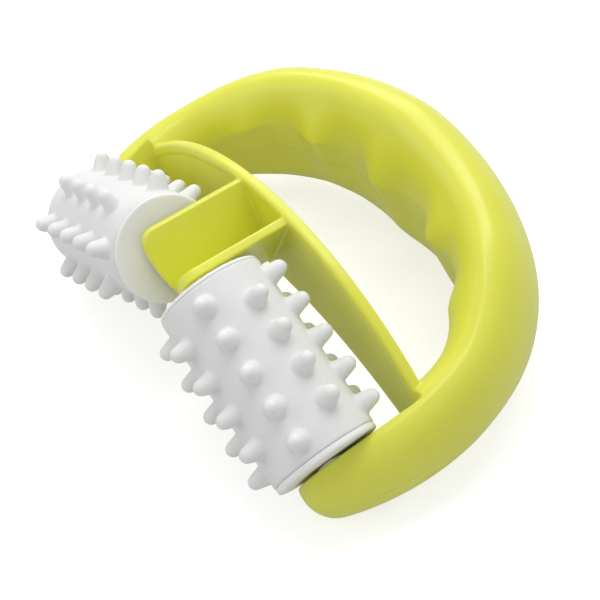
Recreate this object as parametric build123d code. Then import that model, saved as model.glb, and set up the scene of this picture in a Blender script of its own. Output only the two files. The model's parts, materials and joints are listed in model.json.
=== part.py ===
from build123d import *
import math
import os

# Hand-held twin roller massager: a D-shaped grip, an arched bridge across its open
# side, and two spiked rollers that slope down and outwards from the middle.
# All sizes are in millimetres. While it is being designed the part lies with +X to the
# right, +Y towards the grip and +Z up, and its working origin is on the roller plane,
# half way between the rollers. The last step stands it on its resting face.

# ---- rollers ----
roller_radius = 14.0            # smooth body of the soft sleeve
roller_length = 50.0            # over both end caps
roller_slope = 26.0             # degrees that each roller falls towards its outer end
inner_end_x = 9.1               # centre of a roller's inner end face
inner_end_z = 2.3
sleeve_wall = 3.2
core_wall = 2.0
inner_cap_rim = 1.0             # rim of the cap that shows at each end of the sleeve
outer_cap_rim = 1.6
cap_rim_inset = 0.15            # the caps stand just inside the sleeve's surface
cap_edge_round = 0.5
cap_spigot_length = 6.0
cap_spigot_clearance = 0.05
cap_hub_radius = 4.0
cap_hub_length = 9.0

# ---- massage spikes ----
spike_rows = 8
spikes_in_long_row = 5
spikes_in_short_row = 4
spike_end_margin = 6.2          # from a roller's end to the last spike of a long row
spike_base_radius = 2.9
spike_tip_radius = 1.95
spike_height = 5.05             # from the sleeve's surface to the crown of the round tip
spike_root_depth = 0.6          # how far a spike's base is sunk in the sleeve
first_row_angle = {"left": 65.3, "right": 29.3}

# ---- axles and washers ----
axle_radius = 1.5
running_clearance = 0.05
axle_grip_in_lug = 2.6
axle_grip_in_arm = 5.5
washer_thickness = 0.5
washer_radius = 3.2
washer_clearance = 0.1

# ---- bridge ----
bridge_front_y = 23.6
bridge_thickness = 2.4
bridge_top_z = 12.7             # crown of the arched rim
bridge_top_radius = 83.0
bridge_bottom_z = -13.4         # crown of the lower edge
bridge_bottom_radius = 119.0
rim_height = 2.6                # the bead that runs along the arch
rim_proud = 0.35                # how far it stands out of the wall on each side
bridge_tongue = 7.8             # how far past the facet the ends reach into the arms
tongue_clearance = 0.1

# ---- lugs that carry the inner ends of the axles ----
lug_thickness = 2.4
lug_to_roller = 2.0             # from a lug's outer face to the roller's end face
lug_top = 8.1                   # above the roller's axis, square to it
lug_front_y = -6.5
lug_front_radius = 3.8
lug_foot_y = -2.5
lug_boss_radius = 4.6
lug_boss_height = 1.2

# ---- grip ----
grip_tilt = 12.0                # degrees that the grip's middle plane rises from arms to apex
grip_apex_y = 74.9              # centre line of the grip, measured in its middle plane
grip_end_y = 0.5
arm_outset = 3.03               # from the facet out to the centre line, at the arm's end
shoulder_inset = 20.5           # other points of the centre line, from the arm's end
shoulder_y = 68.4
side_outset = 3.1
side_y = 44.9
widest_outset = 6.3
widest_y = 26.4
grip_stations = [0.0, 0.35, 0.65, 1.0]          # share of the way from apex to arm end
grip_half_widths = [12.9, 11.0, 8.0, 8.6]
shoulder_half_height = 21.2
side_half_height = 14.2
arm_half_height = 11.4
grip_wall = 2.6
hollow_share = 0.72             # the grip is hollow from its apex to here, then solid
section_count = 49
tip_inset = 0.05                # keeps the rounded arm tips just inside the arms' surface

# ---- finger grooves in the grip's inner wall ----
finger_pitch = 29.5             # along the grip's centre line
finger_ridge = 3.9              # ridge height above the groove bottoms
finger_flat = 9.8               # half height of the flat wall that the fingers meet
finger_set_in = 2.2             # groove bottoms lie this far inside the plain oval
finger_reach = 0.50             # the grooves fade out here
finger_crest = 2.0              # how sharp the ridges are between the rounder grooves
finger_blend = 0.9              # share of the half height where a ridge has melted away
finger_low_share = 0.25         # how much of a ridge is left at the wall's lower edge
arm_flat = 2.5                  # half height of the flat wall on the arms

# ---- arm facets and outer axle seats ----
facet_gap = 0.8                 # from the roller's outer end to the arm's flat facet

# ---- shell screws ----
screw_shares = [-0.93, -0.42, 0.0, 0.42, 0.93]  # where the screws stand along the centre line
screw_outset = [1.8, 0.0, 0.0, 0.0, 1.8]        # and how far outside it
screw_radius = 1.45
screw_head_radius = 2.7
screw_head_height = 2.0
screw_below = 7.0               # from the parting face down to the head's seat
screw_above = 8.0               # thread length in the upper shell
screw_hole_clearance = 0.2
screw_boss_radius = 4.2
recess_radius = 1.2             # driver recess
recess_depth = 1.1

# ---- resting face ----
roller_lift = 3.4               # from the table to the lowest spike
arm_land_depth = 1.1            # how much the flat lands cut off the arms
apex_land_depth = 0.35          # and off the grip's apex
large = 400.0                   # bigger than the part, for cutting blocks

sides = {"left": -1, "right": 1}
slope = math.radians(roller_slope)
tilt = math.radians(grip_tilt)
spike_tip_centre = roller_radius + spike_height - spike_tip_radius
spike_pitch = (roller_length - 2 * spike_end_margin) / (spikes_in_long_row - 1)
last_spike_z = inner_end_z - (roller_length - spike_end_margin) * math.sin(slope)
rest_z = last_spike_z - spike_tip_centre * math.cos(slope) - spike_tip_radius - roller_lift
core_radius = roller_radius - sleeve_wall
core_bore = core_radius - core_wall
sleeve_length = roller_length - inner_cap_rim - outer_cap_rim
facet_at = roller_length + facet_gap
lug_outer_at = -lug_to_roller
lug_inner_at = lug_outer_at - lug_thickness
boss_end_at = lug_outer_at + lug_boss_height

# The grip's middle plane passes through the arms' centres at the roller plane, and the
# lands that it rests on are in the resting plane under both arms and under its apex.
grip_middle_z = rest_z + arm_half_height - arm_land_depth
apex_rise = grip_apex_y * math.sin(tilt)
apex_half_height = (grip_middle_z + apex_rise - rest_z + apex_land_depth) / math.cos(tilt)
grip_half_heights = [apex_half_height, shoulder_half_height, side_half_height, arm_half_height]
grip_plane = Plane(
    origin=(0, 0, grip_middle_z),
    x_dir=(1, 0, 0),
    z_dir=(0, -math.sin(tilt), math.cos(tilt)),
)
facet_foot_z = inner_end_z - facet_at * math.sin(slope)
facet_x = inner_end_x + facet_at * math.cos(slope) + (grip_middle_z - facet_foot_z) * math.tan(slope)
grip_end_x = facet_x + arm_outset
bridge_tongue_end_x = facet_x + bridge_tongue


def roller_plane(side, distance):
    """Plane square to a roller's axis, its z pointing outwards along the axis."""
    sign = sides[side]
    origin = (
        sign * (inner_end_x + distance * math.cos(slope)),
        0,
        inner_end_z - distance * math.sin(slope),
    )
    return Plane(origin=origin, x_dir=(0, 1, 0), z_dir=(sign * math.cos(slope), 0, -math.sin(slope)))


def rod(plane, radius, start, end):
    """Cylinder about a plane's normal, from height start to height end."""
    return plane * Pos(0, 0, start) * Cylinder(
        radius, end - start, align=(Align.CENTER, Align.CENTER, Align.MIN)
    )


def ring(plane, outer, inner, start, end):
    """Plain tube about a plane's normal."""
    return rod(plane, outer, start, end) - rod(plane, inner, start - 1, end + 1)


# ---- rollers ----
def spike():
    """One blunt cone with a round tip, standing on the sleeve along +X."""
    root = roller_radius - spike_root_depth
    tangent = math.asin((spike_base_radius - spike_tip_radius) / (spike_tip_centre - root))
    tip_x = spike_tip_centre + spike_tip_radius * math.sin(tangent)
    tip_y = spike_tip_radius * math.cos(tangent)
    crown = spike_tip_centre + spike_tip_radius
    middle = (tangent + math.pi / 2) / 2
    mid_point = (
        spike_tip_centre + spike_tip_radius * math.sin(middle),
        spike_tip_radius * math.cos(middle),
    )
    outline = Line((root, 0), (root, spike_base_radius))
    outline += Line((root, spike_base_radius), (tip_x, tip_y))
    outline += ThreePointArc((tip_x, tip_y), mid_point, (crown, 0))
    outline += Line((crown, 0), (root, 0))
    return revolve(make_face(outline), Axis.X)


def spike_places(side):
    """Angle and distance along the axis of every spike: long and short rows alternate."""
    places = []
    for row in range(spike_rows):
        count = spikes_in_long_row if row % 2 == 0 else spikes_in_short_row
        angle = sides[side] * (first_row_angle[side] + row * 360.0 / spike_rows)
        for index in range(count):
            along = roller_length / 2 + (index - (count - 1) / 2) * spike_pitch
            places.append((angle, along))
    return places


def sleeve(side):
    plane = roller_plane(side, 0)
    start = inner_cap_rim
    body = ring(plane, roller_radius, core_radius, start, start + sleeve_length)
    one = spike()
    spikes = [plane * Pos(0, 0, along) * Rot(0, 0, angle) * one for angle, along in spike_places(side)]
    return body.fuse(*spikes)


def core(side):
    start = inner_cap_rim
    return ring(roller_plane(side, 0), core_radius, core_bore, start, start + sleeve_length)


def end_cap(side, end):
    """Rim, spigot and bearing hub of one end cap, modelled with its face at z = 0."""
    rim = inner_cap_rim if end == "inner" else outer_cap_rim
    disc = Cylinder(
        roller_radius - cap_rim_inset, rim, align=(Align.CENTER, Align.CENTER, Align.MIN)
    )
    disc = fillet(disc.edges().sort_by(Axis.Z)[0], min(cap_edge_round, rim * 0.45))
    cap = disc + rod(Plane.XY, core_bore - cap_spigot_clearance, rim, rim + cap_spigot_length)
    cap -= rod(Plane.XY, core_bore - cap_spigot_clearance - core_wall, rim, large)
    cap += rod(Plane.XY, cap_hub_radius, rim / 2, cap_hub_length)
    cap -= rod(Plane.XY, axle_radius + running_clearance, -1, large)
    if end == "inner":
        return roller_plane(side, 0) * cap
    return roller_plane(side, roller_length) * Rot(180, 0, 0) * cap


def axle(side):
    plane = roller_plane(side, 0)
    return rod(plane, axle_radius, boss_end_at - axle_grip_in_lug, facet_at + axle_grip_in_arm)


def washer(side, end):
    """Thin washer that keeps a roller's end cap off the lug or the arm."""
    plane = roller_plane(side, 0)
    start = boss_end_at if end == "inner" else facet_at - washer_thickness
    inner = axle_radius + washer_clearance
    return ring(plane, washer_radius, inner, start, start + washer_thickness)


# ---- bridge ----
def upright_disc(radius, crown_z, front_y, thickness):
    """Disc that stands square to +Y, with its highest point at crown_z."""
    facing = Plane(origin=(0, front_y, crown_z - radius), x_dir=(1, 0, 0), z_dir=(0, 1, 0))
    return rod(facing, radius, 0, thickness)


def bridge_slab(front, thickness, grow):
    """Upright slab as long as the bridge with both its tongues."""
    return Pos(0, front + thickness / 2, 0) * Box(
        2 * (bridge_tongue_end_x + grow), thickness, large
    )


def bridge_wall(grow=0.0):
    """Arched wall; grow makes the same shape larger all round, for its pockets."""
    front = bridge_front_y - grow
    thickness = bridge_thickness + 2 * grow
    sunk = rim_height / 2
    arch = upright_disc(bridge_top_radius - sunk + grow, bridge_top_z - sunk + grow, front, thickness)
    hollow = upright_disc(bridge_bottom_radius, bridge_bottom_z - grow, front - 1, thickness + 2)
    return (bridge_slab(front, thickness, grow) & arch) - hollow


def bridge_bead(grow=0.0):
    """Bead along the arch, a little thicker than the wall under it."""
    front = bridge_front_y - rim_proud - grow
    thickness = bridge_thickness + 2 * (rim_proud + grow)
    arch = upright_disc(bridge_top_radius + grow, bridge_top_z + grow, front, thickness)
    inner_radius = bridge_top_radius - rim_height - grow
    inside = upright_disc(inner_radius, bridge_top_z - rim_height - grow, front - 1, thickness + 2)
    above = Pos(0, 0, large / 2 + bridge_top_z - bridge_top_radius) * Box(large, large, large)
    return (bridge_slab(front, thickness, grow) & arch & above) - inside


def lug_plate(side):
    """Plate square to the roller's axis; the two plates meet in a V on the middle plane."""
    plane = roller_plane(side, lug_inner_at)
    up = sides[side]
    meet = -(plane.origin.X * up) / math.sin(slope)
    foot = meet - 2 * lug_thickness / math.tan(slope)
    r = lug_front_radius
    turn = r * (1 - math.sqrt(0.5))
    back_y = bridge_front_y + bridge_thickness / 2
    outline = Line((back_y, lug_top * up), (lug_front_y + r, lug_top * up))
    outline += ThreePointArc(
        (lug_front_y + r, lug_top * up),
        (lug_front_y + turn, (lug_top - turn) * up),
        (lug_front_y, (lug_top - r) * up),
    )
    outline += TangentArc((lug_front_y, (lug_top - r) * up), (lug_foot_y, meet * up), tangent=(0, -up))
    outline += Line((lug_foot_y, meet * up), (lug_foot_y, foot * up))
    outline += Line((lug_foot_y, foot * up), (back_y, foot * up))
    outline += Line((back_y, foot * up), (back_y, lug_top * up))
    plate = plane * extrude(make_face(outline), lug_thickness)
    lowest = plane.origin.Z + meet * math.cos(slope) - lug_thickness
    return plate & (Pos(up * large / 2, 0, lowest + large / 2) * Box(large, large, large))


def lug_boss(side):
    return rod(roller_plane(side, 0), lug_boss_radius, lug_outer_at - 0.5, boss_end_at)


def bridge():
    bead = bridge_bead()
    edges = bead.edges().filter_by(GeomType.CIRCLE).sort_by(Axis.Z)[-2:]
    solid = fillet(edges, min(bridge_thickness, rim_height) * 0.4) + bridge_wall()
    solid += lug_plate("left") + lug_plate("right")
    for side in sides:
        solid += lug_boss(side)
    for side in sides:
        seat_end = boss_end_at - axle_grip_in_lug
        solid -= rod(roller_plane(side, 0), axle_radius, seat_end, large / 4)
    return solid


# ---- grip ----
def grip_line():
    """Centre line of the grip, in its middle plane, from the left arm to the right arm."""
    half = [
        (0, grip_apex_y),
        (grip_end_x - shoulder_inset, shoulder_y),
        (grip_end_x + side_outset, side_y),
        (grip_end_x + widest_outset, widest_y),
        (grip_end_x, grip_end_y),
    ]
    points = [(-x, y) for x, y in reversed(half[1:])] + half
    return Spline(*points)


def blend(values, share):
    """Value at a share of the way to the arm end, smoothly between the stations."""
    for index in range(len(grip_stations) - 1):
        low, high = grip_stations[index], grip_stations[index + 1]
        if share <= high:
            t = (share - low) / (high - low)
            t = t * t * (3 - 2 * t) * 0.5 + t * 0.5
            return values[index] + (values[index + 1] - values[index]) * t
    return values[-1]


def fade(share, start, end):
    """1 before start, 0 after end and a smooth step between."""
    t = min(max((share - start) / (end - start), 0.0), 1.0)
    return 1 - t * t * (3 - 2 * t)


def oval_inset(oval, height, level):
    """Distance of the inner oval from the centre line at a level, and its slope there."""
    root = math.sqrt(1 - (level / height) ** 2)
    return oval * root, oval * level / (height ** 2 * root)


def flare(oval, height, flat, ridge):
    """Curve from the plain oval down to the wall's edge, which stands out by the ridge."""
    join = finger_blend * height
    handle = (join - flat) / 3
    join_x, join_slope = oval_inset(oval, height, join)
    flat_x, flat_slope = oval_inset(oval, height, flat)
    edge_slope = flat_slope + ridge / (join - flat)
    return [
        (-join_x, join),
        (-join_x - join_slope * handle, join - handle),
        (-flat_x - ridge + edge_slope * handle, flat + handle),
        (-flat_x - ridge, flat),
    ]


def grip_section(line, place, shrink):
    """Closed outline of the grip at a place from 0 to 1 on its centre line."""
    share = abs(2 * place - 1)
    along = (place - 0.5) * line.length
    width = blend(grip_half_widths, share) - shrink
    height = blend(grip_half_heights, share) - shrink
    fingers = fade(share, finger_reach - 0.12, finger_reach + 0.08)
    wave = (0.5 + 0.5 * math.cos(2 * math.pi * along / finger_pitch)) ** finger_crest
    groove = width - fingers * finger_set_in
    ridge = fingers * finger_ridge * wave
    flat = arm_flat + (finger_flat - arm_flat) * fade(share, 0.45, 0.75)
    oval = groove / math.sqrt(1 - (flat / height) ** 2)
    top = flare(oval, height, flat, ridge)
    foot = [(x, -y) for x, y in flare(oval, height, flat, ridge * finger_low_share)]
    bend = math.degrees(math.atan2(top[0][1] / height, top[0][0] / oval))
    outer_arc = EllipticalCenterArc((0, 0), width, height, -90, arc_size=180)
    top_arc = EllipticalCenterArc((0, 0), oval, height, 90, arc_size=bend - 90)
    wall_line = Line(top[-1], foot[-1])
    foot_arc = EllipticalCenterArc((0, 0), oval, height, 360 - bend, arc_size=bend - 90)
    curves = [outer_arc, top_arc, Bezier(*top), wall_line, Bezier(*reversed(foot)), foot_arc]
    outline = Wire([curve.edge() for curve in curves])
    point = line @ place
    heading = line % place
    outward = Vector(-heading.Y, heading.X, 0)
    plane = Plane(origin=point, x_dir=outward, z_dir=heading)
    if plane.y_dir.Z < 0:
        plane = Plane(origin=point, x_dir=outward, z_dir=-heading)
    return plane * outline


def grip_body(line, reach, shrink):
    """Loft of the grip between equal distances either side of its apex."""
    start = 0.5 - reach / 2
    wires = []
    for index in range(section_count):
        wires.append(grip_section(line, start + reach * index / (section_count - 1), shrink))
    return Solid.make_loft(wires)


def arm_tip(line, place):
    """Rounded end of an arm: an ellipsoid with nearly the arm's own width and height."""
    width = grip_half_widths[-1] - tip_inset
    height = grip_half_heights[-1] - tip_inset
    point = line @ place
    stretched = scale(Sphere(width), by=(1, 1, height / width))
    return Pos(point.X, point.Y, 0) * stretched


def screw_points(line):
    """Places of the screws in the grip's middle plane."""
    points = []
    for share, outset in zip(screw_shares, screw_outset):
        place = 0.5 + share / 2
        point = line @ place
        heading = line % place
        points.append((point.X - heading.Y * outset, point.Y + heading.X * outset))
    return points


def facet_block(side):
    """Block whose face is the arm's flat facet, up to the bridge's front face."""
    plane = roller_plane(side, facet_at)
    depth = 60.0
    width = bridge_front_y + 60.0
    return plane * Pos(bridge_front_y - width / 2, 0, -depth / 2) * Box(width, large / 2, depth)


def grip_solid():
    """The grip with both halves in one, hollow, with screw bosses and the arm facets."""
    line = grip_line()
    outside = grip_body(line, 1.0, 0.0)
    outside = outside + arm_tip(line, 0.0) + arm_tip(line, 1.0)
    hollow = grip_body(line, hollow_share, grip_wall)
    for x, y in screw_points(line):
        hollow -= Pos(x, y, 0) * Cylinder(screw_boss_radius, large)
    solid = grip_plane * (outside - hollow)
    for side in sides:
        solid -= facet_block(side)
    solid -= bridge_wall(tongue_clearance) + bridge_bead(tongue_clearance)
    for side in sides:
        solid -= rod(roller_plane(side, 0), axle_radius, facet_at - 1, facet_at + axle_grip_in_arm)
    return solid & Pos(0, 0, rest_z + large / 2) * Box(large, large, large)


def half_space(sign):
    """Everything above (1) or below (-1) the parting face."""
    return grip_plane * Pos(0, 0, sign * large / 2) * Box(large, large, large)


def upper_shell(solid):
    shell = solid & half_space(1)
    for x, y in screw_points(grip_line()):
        shell -= rod(grip_plane * Pos(x, y, 0), screw_radius, -1, screw_above)
    return shell


def lower_shell(solid):
    shell = solid & half_space(-1)
    for x, y in screw_points(grip_line()):
        spot = grip_plane * Pos(x, y, 0)
        shell -= rod(spot, screw_radius + screw_hole_clearance, -screw_below - 1, 1)
        shell -= rod(spot, screw_head_radius + screw_hole_clearance, -large / 4, -screw_below)
    return shell


def screws():
    """Pan-head screws that hold the two shells together, driven from below."""
    made = []
    for x, y in screw_points(grip_line()):
        spot = grip_plane * Pos(x, y, 0)
        screw = rod(spot, screw_radius, -screw_below - 0.5, screw_above)
        screw += rod(spot, screw_head_radius, -screw_below - screw_head_height, -screw_below)
        head_face = -screw_below - screw_head_height
        recess = rod(spot, recess_radius, head_face - 1, head_face + recess_depth)
        made.append(screw - recess)
    return Compound(children=made)


# ---- the whole part ----
def build():
    solid = grip_solid()
    nodes = {
        "handle_upper_shell": upper_shell(solid),
        "handle_lower_shell": lower_shell(solid),
        "roller_bridge": bridge(),
        "shell_screws": screws(),
    }
    for side in sides:
        nodes[side + "_roller_sleeve"] = sleeve(side)
        nodes[side + "_roller_core"] = core(side)
        nodes[side + "_axle"] = axle(side)
        for end in ("inner", "outer"):
            nodes[side + "_" + end + "_end_cap"] = end_cap(side, end)
            nodes[side + "_" + end + "_washer"] = washer(side, end)
    return nodes


def main():
    nodes = build()
    boxes = [shape.bounding_box() for shape in nodes.values()]
    front = min(box.min.Y for box in boxes)
    back = max(box.max.Y for box in boxes)
    stand = Pos(0, -(front + back) / 2, -rest_z)
    print("moved by", 0, -(front + back) / 2, -rest_z)
    os.makedirs("parts", exist_ok=True)
    for name, shape in nodes.items():
        export_step(stand * shape, "parts/" + name + ".step")


main()
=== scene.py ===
"""Hand-held twin roller massager: moulded lime grip and bridge, soft white spiked rollers."""

import json
import math

import bmesh
import bpy
from mathutils import Matrix, Vector

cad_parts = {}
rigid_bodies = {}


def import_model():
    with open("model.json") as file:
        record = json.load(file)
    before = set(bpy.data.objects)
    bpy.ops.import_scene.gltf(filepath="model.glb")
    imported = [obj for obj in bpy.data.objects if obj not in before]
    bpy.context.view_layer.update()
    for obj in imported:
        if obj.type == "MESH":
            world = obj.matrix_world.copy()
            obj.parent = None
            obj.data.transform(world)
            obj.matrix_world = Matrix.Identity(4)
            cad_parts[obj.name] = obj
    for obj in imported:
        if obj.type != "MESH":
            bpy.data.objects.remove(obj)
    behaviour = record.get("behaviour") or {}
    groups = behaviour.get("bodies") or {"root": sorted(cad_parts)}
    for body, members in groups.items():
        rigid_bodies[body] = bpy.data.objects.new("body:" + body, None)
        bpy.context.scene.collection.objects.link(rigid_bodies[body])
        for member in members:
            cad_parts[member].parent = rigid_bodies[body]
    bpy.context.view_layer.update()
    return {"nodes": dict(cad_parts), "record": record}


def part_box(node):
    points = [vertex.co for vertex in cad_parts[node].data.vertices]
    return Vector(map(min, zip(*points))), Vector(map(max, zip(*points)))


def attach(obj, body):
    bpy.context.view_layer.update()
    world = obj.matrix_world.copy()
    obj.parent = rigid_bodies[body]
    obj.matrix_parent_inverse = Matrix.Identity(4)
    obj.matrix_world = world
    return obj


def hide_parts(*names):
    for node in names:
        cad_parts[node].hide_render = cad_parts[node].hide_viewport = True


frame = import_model()
mm = 0.001

# ---- sizes of the finish, in metres ----
shell_voxel = 0.48 * mm         # spacing of the even mesh that each skin is rebuilt with
bridge_voxel = 0.33 * mm
sleeve_voxel = 0.36 * mm
cap_voxel = 0.30 * mm
shell_passes = 2                # smoothing passes that ease the edges
bridge_passes = 3
sleeve_passes = 2
cap_passes = 1
merge_reach = 0.002 * mm        # vertices of a CAD copy that are closer than this are one
sharp_edge = math.radians(50)   # the grip's edges are drawn sharp above this
seam_gap = 0.06 * mm            # fine parting line between the two shells
wall_half = 1.55 * mm           # from the bridge's back face to the middle of its wall
filler_from_x = 50.0 * mm       # the pockets in the arms begin outside this
filler_share = 0.90             # thickness of a pocket's filler over that of the bridge
filler_drop = 0.15 * mm         # and how much lower it lies
grip_tilt = math.radians(12.0)  # the parting face rises from the arms to the apex
grip_drop = 27.3 * mm           # its depth under the roller plane at the rollers
hinge_rise = 2.3 * mm           # the rollers' joints lie this far above the roller plane
hinge = frame["record"]["behaviour"]["joints"][0]["pos_m"]
roller_plane_y = hinge[1]       # where the rollers' axes lie
roller_plane_z = hinge[2] - hinge_rise

# ---- camera ----
camera_place = Vector((0.208417, -0.128455, 0.272340))
camera_look = Vector((-0.57895, 0.34583, -0.73839))
camera_up = Vector((-0.56108, 0.48811, 0.66853))
camera_lens = 80.05

# ---- lights and floor ----
light_target = Vector((0, 0, 0.02))
light_up = Vector((0.1, 1, 0.2))
world_strength = 0.56
floor_size = 6.0
floor_glow_seen = 0.68          # glow of the floor as the camera sees it
floor_glow_cast = 0.20          # and as it lights the object


def aim(thing, place, look, up):
    """Put a camera or a light at a place, with its -Z along look."""
    back = -look.normalized()
    side = up.cross(back).normalized()
    turn = Matrix((side, back.cross(side), back)).transposed().to_4x4()
    thing.matrix_world = Matrix.Translation(place) @ turn


def add_camera():
    data = bpy.data.cameras.new("camera")
    data.lens = camera_lens
    data.sensor_width = 36.0
    data.clip_start = 0.01
    camera = bpy.data.objects.new("camera", data)
    bpy.context.scene.collection.objects.link(camera)
    aim(camera, camera_place, camera_look, camera_up)
    bpy.context.scene.camera = camera


def add_light(name, away, distance, size, power):
    """Soft box, its size a width and a length, that looks at the middle of the object."""
    data = bpy.data.lights.new(name, "AREA")
    data.shape = "RECTANGLE"
    data.size, data.size_y = size
    data.energy = power
    light = bpy.data.objects.new(name, data)
    bpy.context.scene.collection.objects.link(light)
    away = Vector(away).normalized()
    aim(light, light_target + away * distance, -away, light_up)


def add_world():
    """Even white surroundings."""
    world = bpy.data.worlds.new("studio")
    world.use_nodes = True
    backdrop = world.node_tree.nodes["Background"]
    backdrop.inputs["Color"].default_value = (1, 1, 1, 1)
    backdrop.inputs["Strength"].default_value = world_strength
    bpy.context.scene.world = world


# ---- materials ----
def new_material(name):
    material = bpy.data.materials.new(name)
    material.use_nodes = True
    tree = material.node_tree
    return material, tree, tree.nodes["Principled BSDF"]


def object_noise(tree, scale, detail, roughness=0.5):
    """Noise on object coordinates, which are metres in the row frame."""
    place = tree.nodes.new("ShaderNodeTexCoord")
    noise = tree.nodes.new("ShaderNodeTexNoise")
    noise.inputs["Scale"].default_value = scale
    noise.inputs["Detail"].default_value = detail
    noise.inputs["Roughness"].default_value = roughness
    tree.links.new(place.outputs["Object"], noise.inputs["Vector"])
    return noise.outputs["Fac"]


def spread(tree, value, low, high):
    """Maps the middle of a noise to a range of values."""
    ranged = tree.nodes.new("ShaderNodeMapRange")
    ranged.inputs["From Min"].default_value = 0.3
    ranged.inputs["From Max"].default_value = 0.7
    ranged.inputs["To Min"].default_value = low
    ranged.inputs["To Max"].default_value = high
    tree.links.new(value, ranged.inputs["Value"])
    return ranged.outputs["Result"]


def tinted(tree, value, first, second):
    """Colour between two shades, driven by a noise."""
    mix = tree.nodes.new("ShaderNodeMix")
    mix.data_type = "RGBA"
    mix.inputs["A"].default_value = (*first, 1)
    mix.inputs["B"].default_value = (*second, 1)
    tree.links.new(spread(tree, value, 0, 1), mix.inputs["Factor"])
    return mix.outputs["Result"]


def grain(tree, shader, value, height, strength):
    bump = tree.nodes.new("ShaderNodeBump")
    bump.inputs["Distance"].default_value = height
    bump.inputs["Strength"].default_value = strength
    tree.links.new(value, bump.inputs["Height"])
    tree.links.new(bump.outputs["Normal"], shader.inputs["Normal"])


def lime_plastic():
    """Satin moulded plastic, slightly translucent, with a very fine spark-eroded grain."""
    material, tree, shader = new_material("lime_plastic")
    cloud = object_noise(tree, 38, 3)
    colour = tinted(tree, cloud, (0.730, 0.745, 0.066), (0.780, 0.790, 0.082))
    tree.links.new(colour, shader.inputs["Base Color"])
    tree.links.new(spread(tree, object_noise(tree, 300, 4), 0.33, 0.40), shader.inputs["Roughness"])
    shader.inputs["Subsurface Weight"].default_value = 0.12
    shader.inputs["Subsurface Radius"].default_value = (1.0, 1.0, 0.25)
    shader.inputs["Subsurface Scale"].default_value = 2.2 * mm
    shader.inputs["Coat Weight"].default_value = 0.18
    shader.inputs["Coat Roughness"].default_value = 0.17
    grain(tree, shader, object_noise(tree, 2600, 2), 0.03 * mm, 0.12)
    return material


def white_rubber(name, first, second, roughness, grain_scale):
    """Soft white moulding compound that lets a little light into its thin spikes."""
    material, tree, shader = new_material(name)
    cloud = object_noise(tree, 60, 3)
    tree.links.new(tinted(tree, cloud, first, second), shader.inputs["Base Color"])
    rough = spread(tree, object_noise(tree, 420, 4), roughness - 0.04, roughness + 0.06)
    tree.links.new(rough, shader.inputs["Roughness"])
    shader.inputs["Subsurface Weight"].default_value = 0.35
    shader.inputs["Subsurface Radius"].default_value = (1.0, 0.95, 0.9)
    shader.inputs["Subsurface Scale"].default_value = 1.8 * mm
    grain(tree, shader, object_noise(tree, grain_scale, 3), 0.04 * mm, 0.15)
    return material


def plain_moulding(name, colour, roughness):
    material, tree, shader = new_material(name)
    lighter = tuple(min(1.0, value * 1.05) for value in colour)
    cloud = object_noise(tree, 90, 3)
    tree.links.new(tinted(tree, cloud, colour, lighter), shader.inputs["Base Color"])
    shader.inputs["Roughness"].default_value = roughness
    grain(tree, shader, object_noise(tree, 1800, 3), 0.03 * mm, 0.15)
    return material


def ground_steel(name, colour, roughness):
    """Steel with fine marks from grinding."""
    material, tree, shader = new_material(name)
    shader.inputs["Metallic"].default_value = 1.0
    marks = object_noise(tree, 900, 5, 0.6)
    lighter = tuple(min(1.0, value * 1.12) for value in colour)
    tree.links.new(tinted(tree, marks, colour, lighter), shader.inputs["Base Color"])
    tree.links.new(spread(tree, marks, roughness, roughness + 0.12), shader.inputs["Roughness"])
    grain(tree, shader, marks, 0.02 * mm, 0.2)
    return material


# ---- mesh tools ----
def deselect_all():
    for thing in bpy.context.view_layer.objects:
        thing.select_set(False)


def choose(piece):
    deselect_all()
    piece.select_set(True)
    bpy.context.view_layer.objects.active = piece


def cad_copy(nodes, name):
    """One merged mesh made of copies of CAD nodes."""
    copies = []
    for node in nodes:
        source = frame["nodes"][node]
        twin = bpy.data.objects.new(name, source.data.copy())
        bpy.context.scene.collection.objects.link(twin)
        copies.append(twin)
    choose(copies[0])
    for twin in copies:
        twin.select_set(True)
    if len(copies) > 1:
        bpy.ops.object.join()
    piece = bpy.context.view_layer.objects.active
    piece.name = name
    bpy.ops.object.mode_set(mode="EDIT")
    bpy.ops.mesh.select_all(action="SELECT")
    bpy.ops.mesh.remove_doubles(threshold=merge_reach)
    bpy.ops.mesh.customdata_custom_splitnormals_clear()
    bpy.ops.object.mode_set(mode="OBJECT")
    return piece


def apply_all(piece):
    choose(piece)
    for modifier in list(piece.modifiers):
        bpy.ops.object.modifier_apply(modifier=modifier.name)


def soften(piece, voxel, passes):
    """Rebuild the skin evenly and ease its edges, as a mould does."""
    remesh = piece.modifiers.new("skin", "REMESH")
    remesh.mode = "VOXEL"
    remesh.voxel_size = voxel
    remesh.use_smooth_shade = True
    smooth = piece.modifiers.new("ease", "SMOOTH")
    smooth.factor = 0.5
    smooth.iterations = passes
    apply_all(piece)


def keep_outer_skin(piece):
    """Drop the closed hollow inside, which can't be seen."""
    mesh = bmesh.new()
    mesh.from_mesh(piece.data)
    left = set(mesh.verts)
    groups = []
    while left:
        stack = [left.pop()]
        group = list(stack)
        while stack:
            for edge in stack.pop().link_edges:
                for vert in edge.verts:
                    if vert in left:
                        left.remove(vert)
                        group.append(vert)
                        stack.append(vert)
        groups.append(group)
    groups.sort(key=len)
    for group in groups[:-1]:
        bmesh.ops.delete(mesh, geom=group, context="VERTS")
    mesh.to_mesh(piece.data)
    mesh.free()


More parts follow.
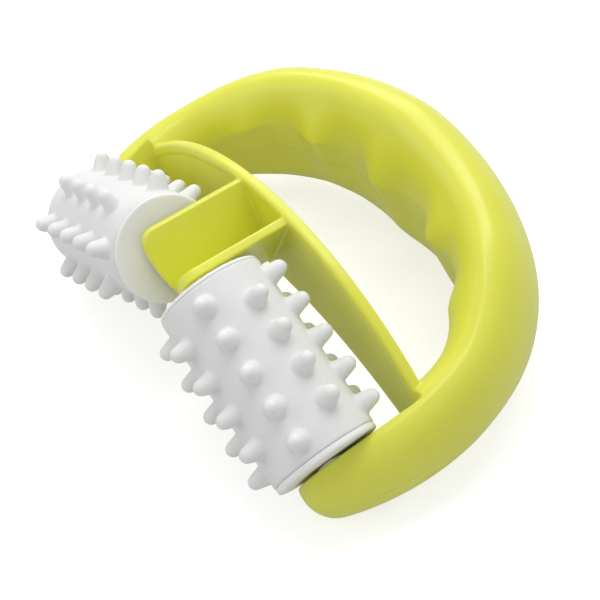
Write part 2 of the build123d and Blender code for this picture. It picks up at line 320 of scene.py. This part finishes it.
def half_of(piece, name, upward):
    """Copy of the grip on one side of the parting face, closed along it."""
    half = bpy.data.objects.new(name, piece.data.copy())
    bpy.context.scene.collection.objects.link(half)
    normal = Vector((0, -math.sin(grip_tilt), math.cos(grip_tilt)))
    centre = Vector((0, roller_plane_y, roller_plane_z - grip_drop))
    sign = 1 if upward else -1
    choose(half)
    bpy.ops.object.mode_set(mode="EDIT")
    bpy.ops.mesh.select_all(action="SELECT")
    bpy.ops.mesh.bisect(
        plane_co=centre + normal * sign * seam_gap / 2,
        plane_no=normal,
        clear_inner=upward,
        clear_outer=not upward,
    )
    bpy.ops.mesh.select_all(action="DESELECT")
    bpy.ops.mesh.select_non_manifold(extend=False, use_boundary=True, use_wire=False,
                                     use_multi_face=False, use_non_contiguous=False, use_verts=False)
    bpy.ops.mesh.fill(use_beauty=True)
    bpy.ops.mesh.select_all(action="SELECT")
    bpy.ops.mesh.normals_make_consistent(inside=False)
    bpy.ops.object.mode_set(mode="OBJECT")
    choose(half)
    bpy.ops.object.shade_smooth_by_angle(angle=sharp_edge)
    return half


def finish_piece(piece, body, nodes, material):
    piece.data.materials.clear()
    piece.data.materials.append(material)
    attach(piece, body)
    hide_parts(*nodes)


def pocket_filler(side):
    """One tongue of the bridge, a little thinner, which closes its pocket in the grip's skin."""
    filler = cad_copy(["roller_bridge"], "pocket_filler")
    wall_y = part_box("roller_bridge")[1].y - wall_half
    for vert in filler.data.vertices:
        vert.co.y = wall_y + (vert.co.y - wall_y) * filler_share
        vert.co.z -= filler_drop
    sign = 1 if side == "right" else -1
    bpy.ops.object.mode_set(mode="EDIT")
    bpy.ops.mesh.select_all(action="SELECT")
    bpy.ops.mesh.bisect(
        plane_co=(sign * filler_from_x, 0, 0), plane_no=(sign, 0, 0), use_fill=True, clear_inner=True
    )
    bpy.ops.object.mode_set(mode="OBJECT")
    return filler


def join_pieces(pieces):
    choose(pieces[0])
    for piece in pieces:
        piece.select_set(True)
    bpy.ops.object.join()
    return bpy.context.view_layer.objects.active


# ---- pieces ----
def make_grip(material):
    shells = cad_copy(["handle_upper_shell", "handle_lower_shell"], "grip_whole")
    whole = join_pieces([shells, pocket_filler("left"), pocket_filler("right")])
    soften(whole, shell_voxel, shell_passes)
    keep_outer_skin(whole)
    upper = half_of(whole, "grip_upper_shell", True)
    lower = half_of(whole, "grip_lower_shell", False)
    bpy.data.objects.remove(whole)
    finish_piece(upper, "frame", ["handle_upper_shell"], material)
    finish_piece(lower, "frame", ["handle_lower_shell"], material)


def make_bridge(material):
    piece = cad_copy(["roller_bridge"], "arched_bridge")
    soften(piece, bridge_voxel, bridge_passes)
    finish_piece(piece, "frame", ["roller_bridge"], material)


def make_roller(side, sleeve_material, cap_material):
    body = side + "_roller"
    sleeve = cad_copy([side + "_roller_sleeve"], side + "_spiked_sleeve")
    soften(sleeve, sleeve_voxel, sleeve_passes)
    finish_piece(sleeve, body, [side + "_roller_sleeve"], sleeve_material)
    for end in ("inner", "outer"):
        node = side + "_" + end + "_end_cap"
        cap = cad_copy([node], side + "_" + end + "_cap")
        soften(cap, cap_voxel, cap_passes)
        finish_piece(cap, body, [node], cap_material)


def dress(node, material):
    mesh = frame["nodes"][node].data
    mesh.materials.clear()
    mesh.materials.append(material)


def make_floor():
    """Pale floor that glows, so that it stays white around soft shadows."""
    deselect_all()
    bpy.ops.mesh.primitive_plane_add(size=floor_size, location=(0, 0, 0))
    floor = bpy.context.object
    floor.name = "floor"
    material, tree, shader = new_material("pale_floor")
    cloud = object_noise(tree, 4, 2)
    colour = tinted(tree, cloud, (0.48, 0.48, 0.48), (0.50, 0.50, 0.50))
    shader.inputs["Emission Color"].default_value = (1, 1, 1, 1)
    ray = tree.nodes.new("ShaderNodeLightPath")
    glow = tree.nodes.new("ShaderNodeMapRange")
    glow.inputs["To Min"].default_value = floor_glow_cast
    glow.inputs["To Max"].default_value = floor_glow_seen
    tree.links.new(ray.outputs["Is Camera Ray"], glow.inputs["Value"])
    tree.links.new(glow.outputs["Result"], shader.inputs["Emission Strength"])
    tree.links.new(colour, shader.inputs["Base Color"])
    shader.inputs["Roughness"].default_value = 0.9
    shader.inputs["Specular IOR Level"].default_value = 0.1
    floor.data.materials.append(material)


def main():
    add_camera()
    add_world()
    add_light("back_box", (-0.52, 0.50, 0.70), 0.60, (0.50, 0.50), 1.20)
    add_light("top_strip", (-0.10, 0.20, 0.95), 0.60, (0.16, 0.60), 1.2)
    add_light("right_fill", (0.66, 0.02, 0.75), 0.80, (0.50, 0.50), 0.24)
    add_light("front_fill", (-0.35, -0.75, 0.50), 0.80, (0.50, 0.50), 0.80)
    add_light("left_strip", (-0.80, 0.35, 0.50), 0.60, (0.05, 0.45), 0.22)
    make_floor()
    lime = lime_plastic()
    rubber = white_rubber("soft_white", (0.775, 0.780, 0.772), (0.805, 0.810, 0.802), 0.50, 2200)
    cap_white = white_rubber("cap_white", (0.88, 0.885, 0.87), (0.91, 0.915, 0.90), 0.42, 3000)
    natural = plain_moulding("natural_plastic", (0.62, 0.62, 0.60), 0.5)
    slippery = plain_moulding("slippery_plastic", (0.75, 0.75, 0.72), 0.35)
    pin_steel = ground_steel("ground_steel", (0.60, 0.60, 0.62), 0.22)
    zinc = ground_steel("zinc_steel", (0.52, 0.53, 0.55), 0.30)
    make_grip(lime)
    make_bridge(lime)
    for side in ("left", "right"):
        make_roller(side, rubber, cap_white)
        dress(side + "_roller_core", natural)
        dress(side + "_axle", pin_steel)
        dress(side + "_inner_washer", slippery)
        dress(side + "_outer_washer", slippery)
    dress("shell_screws", zinc)
    bpy.context.scene.view_settings.view_transform = "Standard"


main()
